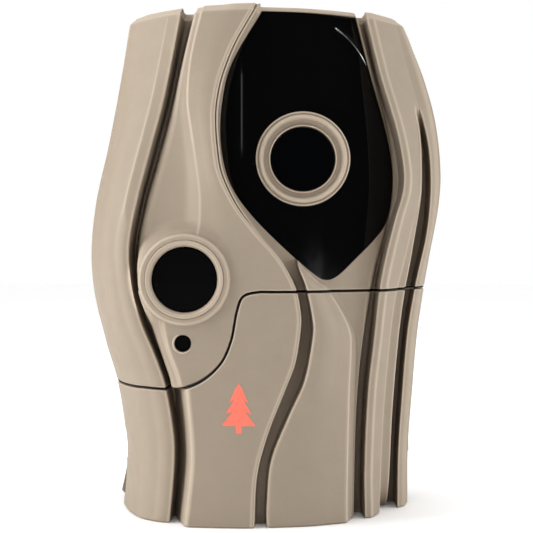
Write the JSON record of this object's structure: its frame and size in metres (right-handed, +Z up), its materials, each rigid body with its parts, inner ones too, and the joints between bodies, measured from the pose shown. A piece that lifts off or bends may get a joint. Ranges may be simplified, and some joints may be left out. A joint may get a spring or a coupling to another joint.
{
  "type": "trail camera",
  "caption": "Trail camera with a ribbed front shell, dark front window, motion sensor, hinged front door over batteries and controls, side latch and strap slots at the back.",
  "frame": {"origin": "centre of the base, on the surface the camera stands on", "axes": "+Z up, -Y is the front with the lens, +X is to the right seen from the front"},
  "size_m": [0.1028, 0.06, 0.14],
  "materials": {
    "tan_plastic": "fine matte texture",
    "gloss_black": "polished, passes infrared",
    "black_plastic": "fine matte texture",
    "black_rubber": "matte",
    "circuit_board": "solder mask",
    "dark_glass": "polished, tinted",
    "steel": "plated",
    "brass": "turned",
    "cell_jacket": "printed film",
    "led_resin": "clear epoxy"
  },
  "bodies": {
    "housing": {"rear_housing": "tan_plastic", "front_housing": "tan_plastic", "pir_bezel": "tan_plastic", "ir_window": "gloss_black", "lens_bezel": "tan_plastic", "pir_window": "gloss_black", "lens_window": "dark_glass", "indicator_window": "dark_glass", "display": "dark_glass", "lens_barrel": "black_plastic", "lens_holder": "black_plastic", "control_panel": "black_plastic", "battery_tray": "black_plastic", "body_gasket": "black_rubber", "ir_led_board": "circuit_board", "image_sensor_board": "circuit_board", "pir_sensor_board": "circuit_board", "main_board": "circuit_board", "hinge_pin": "steel", "latch_pin": "steel", "pir_sensor": "steel", "card_socket": "steel", "usb_port": "steel", "housing_screw_1": "steel", "housing_screw_2": "steel", "housing_screw_3": "steel", "housing_screw_4": "steel", "ir_led_1": "led_resin", "ir_led_2": "led_resin", "ir_led_3": "led_resin", "ir_led_4": "led_resin", "ir_led_5": "led_resin", "ir_led_6": "led_resin", "ir_led_7": "led_resin", "ir_led_8": "led_resin", "light_sensor": "led_resin", "tripod_insert": "brass", "battery_1": "cell_jacket", "battery_2": "cell_jacket", "battery_3": "cell_jacket", "battery_4": "cell_jacket"},
    "door": {"door": "tan_plastic"},
    "latch": {"latch_lever": "tan_plastic"},
    "switch_knob": {"mode_switch": "black_plastic"},
    "card": {"memory_card": "black_plastic"},
    "filter": {"ir_cut_filter": "dark_glass"},
    "button_1": {"button_1": "black_rubber"},
    "button_2": {"button_2": "black_rubber"},
    "button_3": {"button_3": "black_rubber"},
    "button_4": {"button_4": "black_rubber"}
  },
  "joints": [
    {"name": "door_hinge", "type": "hinge", "parent": "housing", "child": "door", "pos_m": [0.0402, 0.011, 0], "axis": [0, 0, 1], "range_deg": [0, 110]},
    {"name": "latch_hinge", "type": "hinge", "parent": "housing", "child": "latch", "pos_m": [-0.0403, 0.015, 0.03], "axis": [0, 1, 0], "range_deg": [0, 70]},
    {"name": "switch_slide", "type": "slide", "parent": "housing", "child": "switch_knob", "axis": [0, 0, 1], "range_m": [0, 0.008]},
    {"name": "card_slide", "type": "slide", "parent": "housing", "child": "card", "axis": [0, -1, 0], "range_m": [0, 0.006]},
    {"name": "filter_slide", "type": "slide", "parent": "housing", "child": "filter", "axis": [1, 0, 0], "range_m": [0, 0.008]},
    {"name": "button_1_press", "type": "slide", "parent": "housing", "child": "button_1", "axis": [0, 1, 0], "range_m": [0, 0.0009], "stiffness_N_per_m": 400, "springref_m": -0.0006},
    {"name": "button_2_press", "type": "slide", "parent": "housing", "child": "button_2", "axis": [0, 1, 0], "range_m": [0, 0.0009], "stiffness_N_per_m": 400, "springref_m": -0.0006},
    {"name": "button_3_press", "type": "slide", "parent": "housing", "child": "button_3", "axis": [0, 1, 0], "range_m": [0, 0.0009], "stiffness_N_per_m": 400, "springref_m": -0.0006},
    {"name": "button_4_press", "type": "slide", "parent": "housing", "child": "button_4", "axis": [0, 1, 0], "range_m": [0, 0.0009], "stiffness_N_per_m": 400, "springref_m": -0.0006}
  ]
}
